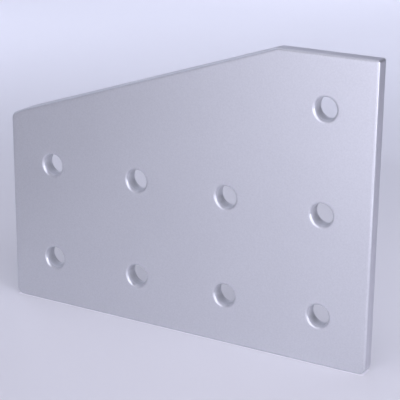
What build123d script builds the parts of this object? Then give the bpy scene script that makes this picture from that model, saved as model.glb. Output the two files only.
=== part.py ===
from build123d import *
import os

# Extrusion joining plate: one flat plate, cut from 6.35 mm aluminium, that bolts
# across the slots of framing profiles. Its edges and hole mouths are all rounded
# over. Millimetres.
#
# Frame: X along the plate's width, Z up its height, Y through its thickness.
# The front face looks towards -Y and the back face towards +Y. The origin is the
# middle of the plate's outer box, at the bottom edge.

# ---- driving dimensions ----
pitch = 40.0            # hole to hole, both ways: one profile width
columns = 4             # hole columns, and plate width in profile widths
rows = 3                # hole rows, and plate height in profile widths
left_rows = 2           # height of the short left end, in profile widths
top_columns = 1         # length of the level top edge, in profile widths
plate_t = 6.35          # thickness, quarter inch plate
hole_d = 8.7            # plain through hole, clearance for M8
mouth_r = 1.0           # rounding at both mouths of each hole
edge_r = 1.0            # rounding of the outer edges of both faces
corner_r = 3.0          # corners of the outline, seen square to the face
top_right_r = 1.05      # the top right corner is left nearly sharp
corner_drop = 0.9       # the slope is rubbed down this far at its left end
knee_in = 8.0           # how far in from the left end the rubbed part reaches
knee_drop = 0.35        # drop left where the rubbed part ends
knee_r = 25.0           # rounding between the rubbed part and the slope

# ---- derived dimensions ----
plate_w = columns * pitch
plate_h = rows * pitch
left_h = left_rows * pitch
top_w = top_columns * pitch
right_x = plate_w / 2
left_x = -plate_w / 2
slope_rise = (plate_h - left_h) / (plate_w - top_w)
knee_x = left_x + knee_in
knee_z = left_h + slope_rise * knee_in - knee_drop

# ---- outline, in X and Z ----
# A rectangle with its top left cut off along one slope, which is straight but for
# its last few millimetres at the left end, where it turns down slightly.
outline = [
    (left_x, 0.0),
    (right_x, 0.0),
    (right_x, plate_h),
    (right_x - top_w, plate_h),
    (knee_x, knee_z),
    (left_x, left_h - corner_drop),
]
profile = make_face(Polyline(*outline, close=True))


def at(v, x, z):
    return abs(v.X - x) < 1e-6 and abs(v.Y - z) < 1e-6


def rounding(v):
    if at(v, right_x, plate_h):
        return top_right_r
    if at(v, knee_x, knee_z):
        return knee_r
    return corner_r


for corner in list(profile.vertices()):
    # each rounding moves only its own corner, so the next is found by its place
    found = [v for v in profile.vertices() if at(v, corner.X, corner.Y)]
    profile = fillet(found, rounding(corner))

# Plane.XZ looks along -Y, so the plate grows from the back face to the front.
plate = extrude(Plane.XZ.offset(-plate_t / 2) * profile, amount=plate_t)

# ---- rounded outer edges of both faces ----
faces = plate.faces().filter_by(Axis.Y)
rims = [e for f in faces for e in f.outer_wire().edges()]
plate = fillet(rims, edge_r)

# ---- holes: two full rows of four, and one more at the top of the right column ----
centres = [
    (left_x + pitch * (c + 0.5), pitch * (r + 0.5))
    for r in range(rows)
    for c in range(columns)
    if r < left_rows or c >= columns - top_columns
]
drill = Rotation(90, 0, 0) * Cylinder(hole_d / 2, 2 * plate_t)
for x, z in centres:
    plate -= Pos(x, 0, z) * drill

# ---- rounded mouths on both faces ----
mouths = [
    e
    for e in plate.edges().filter_by(GeomType.CIRCLE)
    if abs(e.radius - hole_d / 2) < 1e-6 and abs(abs(e.center(CenterOf.BOUNDING_BOX).Y) - plate_t / 2) < 1e-6
]
plate = fillet(mouths, mouth_r)

plate.label = "joining_plate"
print("holes", len(centres), "mouths", len(mouths), "volume", round(plate.volume, 1))

os.makedirs("parts", exist_ok=True)
export_step(plate, "parts/joining_plate.step")
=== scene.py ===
import math

import bpy
from mathutils import Matrix, Vector


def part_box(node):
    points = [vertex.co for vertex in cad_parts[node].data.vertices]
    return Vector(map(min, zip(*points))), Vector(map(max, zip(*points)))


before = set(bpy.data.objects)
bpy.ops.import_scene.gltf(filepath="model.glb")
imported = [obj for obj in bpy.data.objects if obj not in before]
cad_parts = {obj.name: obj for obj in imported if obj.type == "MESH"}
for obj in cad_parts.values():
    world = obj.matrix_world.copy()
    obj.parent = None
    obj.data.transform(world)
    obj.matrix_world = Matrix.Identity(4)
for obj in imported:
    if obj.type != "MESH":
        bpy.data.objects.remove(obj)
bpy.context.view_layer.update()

scene = bpy.context.scene
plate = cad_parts["joining_plate"]
lo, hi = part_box("joining_plate")


# ---------------------------------------------------------------- settings
TINT = (0.995, 0.985, 1.155)
COOL = (0.955, 0.990, 1.225)
FACE_DARK, FACE_LIGHT = (0.622, 0.632, 0.657, 1), (0.678, 0.688, 0.713, 1)
CUT_DARK, CUT_LIGHT = (0.615, 0.615, 0.655, 1), (0.715, 0.715, 0.755, 1)
HOLE_DARK, HOLE_LIGHT = (0.76, 0.77, 0.80, 1), (0.86, 0.87, 0.90, 1)
LIP_DARK, LIP_LIGHT = (0.65, 0.66, 0.685, 1), (0.69, 0.70, 0.725, 1)
ROUGH_FACE, ROUGH_CUT, ROUGH_LIP = 0.50, 0.52, 0.42
ROUGH_HOLE = 0.62
METAL = 0.95
METAL_HOLE = 0.62
# painted shade: the drilled walls are darkened to this factor in the middle of the bore
HOLE_PAINTED_SHADE = 0.84
# broad glows in the sky: where each is, how bright, how tightly it is gathered, tone
GLOWS = [
    ((-0.433, -0.250, 0.866), 1.469, 20.0, TINT),
    ((-0.966, 0.0, 0.259), 0.993, 8.0, COOL),
    ((0.683, 0.683, 0.259), 0.078, 8.0, COOL),
]
# painted glow: the table top itself emits faint light in a strip just where the plate stands, filling in the
# contact shadow
PAINTED_GLOW_UNDER_PLATE = 0.168
# name, place, aimed at, size, watts, spread in degrees
BOXES = [
    ("behind_left", (-0.12, 0.045, 0.5), (-0.12, 0.045, 0), 0.15, 0.005, 30),
    ("behind_right", (0.08, 0.1, 0.5), (0.08, 0.1, 0), 0.15, 0.0347, 60),
    ("right", (0.577, -0.155, 0.130), (0, 0, 0.05), 0.2, 0.87, 180),
    ("right_high", (0.525, -0.141, 0.304), (0, 0, 0.05), 0.35, 0.63, 180),
    ("front_right", (0.299, -0.518, 0.130), (0, 0, 0.05), 0.2, 0.25, 180),
    ("front", (0.0, -0.587, 0.177), (0, 0, 0.05), 0.3, 1.18, 180),
    ("high", (0.315, -0.315, 0.451), (0, 0, 0.05), 0.4, 0.98, 180),
    ("background_wide", (-1.2, 0.8, 1.0), (-1.2, 0.8, 0), 0.6, 2.85, 180),
    ("background_far", (-0.3, 0.9, 0.6), (-0.3, 0.9, 0), 0.3, 0.96, 100),
    ("background_near", (-0.25, 0.45, 0.5), (-0.25, 0.45, 0), 0.3, 0.46, 180),
    ("background_left", (-0.55, 0.35, 0.5), (-0.55, 0.35, 0), 0.3, 0.46, 100),
    ("background_right", (0.1, 0.5, 0.5), (0.1, 0.5, 0), 0.3, 0.29, 180),
    ("background_right_spot", (0.1, 0.5, 0.5), (0.1, 0.5, 0), 0.3, 0.26, 100),
]

# ---------------------------------------------------------------- small helpers
def new_material(name):
    mat = bpy.data.materials.new(name)
    mat.use_nodes = True
    nt = mat.node_tree
    nt.nodes.clear()
    out = nt.nodes.new("ShaderNodeOutputMaterial")
    bsdf = nt.nodes.new("ShaderNodeBsdfPrincipled")
    nt.links.new(bsdf.outputs["BSDF"], out.inputs["Surface"])
    return mat, nt, bsdf


class Graph:
    """Short names for the nodes that the materials and the sky are made of."""

    def __init__(self, nt):
        self.nt = nt

    def node(self, kind, **props):
        n = self.nt.nodes.new(kind)
        for k, v in props.items():
            setattr(n, k, v)
        return n

    def put(self, value, socket):
        if isinstance(value, bpy.types.NodeSocket):
            self.nt.links.new(value, socket)
        else:
            socket.default_value = value

    def math(self, op, a, b=0.0, c=0.0, clamp=False):
        n = self.node("ShaderNodeMath", operation=op, use_clamp=clamp)
        for value, socket in zip((a, b, c), n.inputs):
            self.put(value, socket)
        return n.outputs[0]

    def ramp(self, x, x0, x1, y0=0.0, y1=1.0, smooth=True):
        n = self.node("ShaderNodeMapRange")
        n.interpolation_type = "SMOOTHSTEP" if smooth else "LINEAR"
        for value, socket in zip((x, x0, x1, y0, y1), n.inputs):
            self.put(value, socket)
        return n.outputs[0]

    def noise(self, vector, scale, detail=2.0, rough=0.5):
        n = self.node("ShaderNodeTexNoise")
        self.put(vector, n.inputs["Vector"])
        n.inputs["Scale"].default_value = scale
        n.inputs["Detail"].default_value = detail
        n.inputs["Roughness"].default_value = rough
        return n.outputs[0]

    def stretched(self, vector, scale):
        n = self.node("ShaderNodeMapping")
        self.put(vector, n.inputs["Vector"])
        n.inputs["Scale"].default_value = scale
        return n.outputs[0]

    def split(self, vector):
        n = self.node("ShaderNodeSeparateXYZ")
        self.put(vector, n.inputs[0])
        return n.outputs

    def blend(self, factor, a, b):
        n = self.node("ShaderNodeMix", data_type="FLOAT")
        for value, socket in zip((factor, a, b), n.inputs[:1] + n.inputs[2:4]):
            self.put(value, socket)
        return n.outputs[0]

    def shade(self, colour, amount):
        n = self.node("ShaderNodeVectorMath", operation="SCALE")
        self.put(colour, n.inputs[0])
        self.put(amount, n.inputs["Scale"])
        return n.outputs[0]

    def mix(self, factor, a, b):
        n = self.node("ShaderNodeMix", data_type="RGBA")
        self.put(factor, n.inputs[0])
        self.put(a, n.inputs[6])
        self.put(b, n.inputs[7])
        return n.outputs[2]


# ---------------------------------------------------------------- camera
cam_data = bpy.data.cameras.new("camera")
cam_data.sensor_width = 36.0
cam_data.lens = 127.275
cam_data.clip_start = 0.02
cam_data.clip_end = 50.0
cam = bpy.data.objects.new("camera", cam_data)
scene.collection.objects.link(cam)
right = Vector((0.867870, 0.496710, 0.008999))
up = Vector((-0.164514, 0.270258, 0.948628))
back = Vector((0.468762, -0.824766, 0.316264))
cam.matrix_world = Matrix(
    (
        (right.x, up.x, back.x, 0.263118),
        (right.y, up.y, back.y, -0.450477),
        (right.z, up.z, back.z, 0.228534),
        (0.0, 0.0, 0.0, 1.0),
    )
)
scene.camera = cam

# ---------------------------------------------------------------- floor
FLOOR = 6.0
mesh = bpy.data.meshes.new("floor")
mesh.from_pydata(
    [(-FLOOR, -FLOOR, 0), (FLOOR, -FLOOR, 0), (FLOOR, FLOOR, 0), (-FLOOR, FLOOR, 0)],
    [],
    [(0, 1, 2, 3)],
)
floor = bpy.data.objects.new("floor", mesh)
scene.collection.objects.link(floor)
mat, nt, bsdf = new_material("floor_white")
bsdf.inputs["Base Color"].default_value = (0.80, 0.80, 0.82, 1)
bsdf.inputs["Roughness"].default_value = 0.55
g = Graph(nt)
fx, fy, fz = g.split(g.node("ShaderNodeTexCoord").outputs["Object"])
# painted glow: a faint emissive strip on the floor's top side right under the plate, which lightens the plate's
# lower rounded edges and hides its contact shadow
painted_glow_x = g.ramp(g.math("ABSOLUTE", fx), 0.0788, 0.0798, 1.0, 0.0)
painted_glow_y = g.ramp(g.math("ABSOLUTE", fy), 0.0028, 0.0036, 1.0, 0.0)
bsdf.inputs["Emission Color"].default_value = (*TINT, 1)
painted_glow_upward = g.math("SUBTRACT", PAINTED_GLOW_UNDER_PLATE, g.math("MULTIPLY", g.node("ShaderNodeNewGeometry").outputs["Backfacing"], PAINTED_GLOW_UNDER_PLATE))
g.put(g.math("MULTIPLY", g.math("MULTIPLY", painted_glow_x, painted_glow_y), painted_glow_upward), bsdf.inputs["Emission Strength"])
mesh.materials.append(mat)

# ---------------------------------------------------------------- plate finish
# One piece of metal with four kinds of surface, told apart by where they are on the
# plate and which way they face:
#   the two broad faces, fine satin grain
#   the rounded edges and hole mouths, rubbed a little smoother and brighter
#   the cut outline, with fine lines along its length
#   the drilled walls, with fine rings, darkened by painted shade towards the middle of the bore
PITCH = 0.040
mat, nt, bsdf = new_material("satin_anodised_aluminium")
g = Graph(nt)
tex = g.node("ShaderNodeTexCoord")
coords, facing = tex.outputs["Object"], tex.outputs["Normal"]
px, py, pz = g.split(coords)
nx, ny, nz = g.split(facing)
tilt = g.math("ABSOLUTE", ny)
cut = g.ramp(tilt, 0.06, 0.22, 1.0, 0.0)
broad = g.ramp(tilt, 0.90, 0.995)
lip = g.math("SUBTRACT", g.math("SUBTRACT", 1.0, cut), broad, clamp=True)
# distance from the nearest point of the hole grid
cell_x = g.math("SUBTRACT", g.math("FRACT", g.math("DIVIDE", g.math("ADD", px, 0.08), PITCH)), 0.5)
cell_z = g.math("SUBTRACT", g.math("FRACT", g.math("DIVIDE", pz, PITCH)), 0.5)
from_hole = g.math("MULTIPLY", PITCH, g.math("SQRT", g.math("ADD", g.math("POWER", g.math("ABSOLUTE", cell_x), 2.0), g.math("POWER", g.math("ABSOLUTE", cell_z), 2.0))))
in_hole = g.math("MULTIPLY", g.ramp(from_hole, 0.0056, 0.0062, 1.0, 0.0), cut)

grain = g.noise(coords, 1500.0, 2.0, 0.6)
speck = g.noise(coords, 4200.0, 1.0, 0.5)
cloud = g.noise(coords, 30.0, 3.0, 0.55)
lines = g.noise(g.stretched(coords, (70.0, 5200.0, 70.0)), 1.0, 3.0, 0.65)
wide_lines = g.noise(g.stretched(coords, (18.0, 1100.0, 18.0)), 1.0, 2.0, 0.5)

face_tone = g.math("ADD", g.math("MULTIPLY", grain, 0.80), g.math("MULTIPLY", cloud, 0.20))
face_colour = g.mix(g.ramp(face_tone, 0.32, 0.68, 0.0, 1.0, False), FACE_DARK, FACE_LIGHT)
cut_colour = g.mix(g.ramp(g.math("ADD", g.math("MULTIPLY", lines, 0.6), g.math("MULTIPLY", wide_lines, 0.4)), 0.3, 0.7), CUT_DARK, CUT_LIGHT)
# painted shade: hole walls made darker towards the middle of the bore, as shade inside the hole would fall
painted_hole_shade = g.ramp(g.math("ABSOLUTE", py), 0.0008, 0.0024, HOLE_PAINTED_SHADE, 1.0)
hole_colour = g.mix(g.ramp(lines, 0.3, 0.7), HOLE_DARK, HOLE_LIGHT)
hole_colour = g.shade(hole_colour, painted_hole_shade)
lip_colour = g.mix(g.ramp(grain, 0.3, 0.7), LIP_DARK, LIP_LIGHT)
colour = g.mix(cut, face_colour, cut_colour)
colour = g.mix(in_hole, colour, hole_colour)
colour = g.mix(lip, colour, lip_colour)
g.put(colour, bsdf.inputs["Base Color"])

face_rough = g.ramp(face_tone, 0.3, 0.7, ROUGH_FACE - 0.03, ROUGH_FACE + 0.03, False)
cut_rough = g.ramp(lines, 0.3, 0.7, ROUGH_CUT - 0.05, ROUGH_CUT + 0.05, False)
lip_rough = g.ramp(grain, 0.3, 0.7, ROUGH_LIP - 0.03, ROUGH_LIP + 0.03, False)
hole_rough = g.ramp(lines, 0.3, 0.7, ROUGH_HOLE - 0.05, ROUGH_HOLE + 0.05, False)
rough = g.blend(lip, g.blend(in_hole, g.blend(cut, face_rough, cut_rough), hole_rough), lip_rough)
g.put(rough, bsdf.inputs["Roughness"])
g.put(g.blend(in_hole, METAL, METAL_HOLE), bsdf.inputs["Metallic"])

height = g.blend(cut, g.math("ADD", g.math("MULTIPLY", grain, 0.7), g.math("MULTIPLY", speck, 0.3)), g.math("ADD", g.math("MULTIPLY", lines, 0.8), g.math("MULTIPLY", wide_lines, 1.2)))
bump = g.node("ShaderNodeBump")
bump.inputs["Strength"].default_value = 0.6
bump.inputs["Distance"].default_value = 0.00001
g.put(height, bump.inputs["Height"])
g.put(bump.outputs[0], bsdf.inputs["Normal"])
plate.data.materials.clear()
plate.data.materials.append(mat)

# ---------------------------------------------------------------- light
world = bpy.data.worlds.new("studio")
scene.world = world
world.use_nodes = True
sky = Graph(world.node_tree)
background = world.node_tree.nodes["Background"]
direction = sky.node("ShaderNodeTexCoord").outputs["Generated"]
light = (0.0, 0.0, 0.0)
for at, bright, tight, tone in GLOWS:
    toward = sky.node("ShaderNodeVectorMath", operation="DOT_PRODUCT")
    sky.put(direction, toward.inputs[0])
    toward.inputs[1].default_value = at
    glow = sky.math("EXPONENT", sky.math("MULTIPLY", sky.math("SUBTRACT", toward.outputs["Value"], 1.0), tight))
    both = sky.node("ShaderNodeVectorMath", operation="ADD")
    sky.put(light, both.inputs[0])
    sky.put(sky.shade(tone, sky.math("MULTIPLY", glow, bright)), both.inputs[1])
    light = both.outputs[0]
sky.put(light, background.inputs[0])
background.inputs[1].default_value = 1.0


def softbox(name, place, target, size, watts, spread):
    data = bpy.data.lights.new(name, "AREA")
    data.shape = "SQUARE"
    data.size = size
    data.energy = watts
    data.spread = math.radians(spread)
    data.color = COOL if name.startswith("background") else TINT
    ob = bpy.data.objects.new(name, data)
    ob.location = place
    ob.visible_camera = False
    ob.rotation_euler = (Vector(target) - Vector(place)).to_track_quat("-Z", "Y").to_euler()
    scene.collection.objects.link(ob)
    return ob


for box in BOXES:
    softbox(*box)

scene.view_settings.view_transform = "Standard"
scene.view_settings.look = "None"
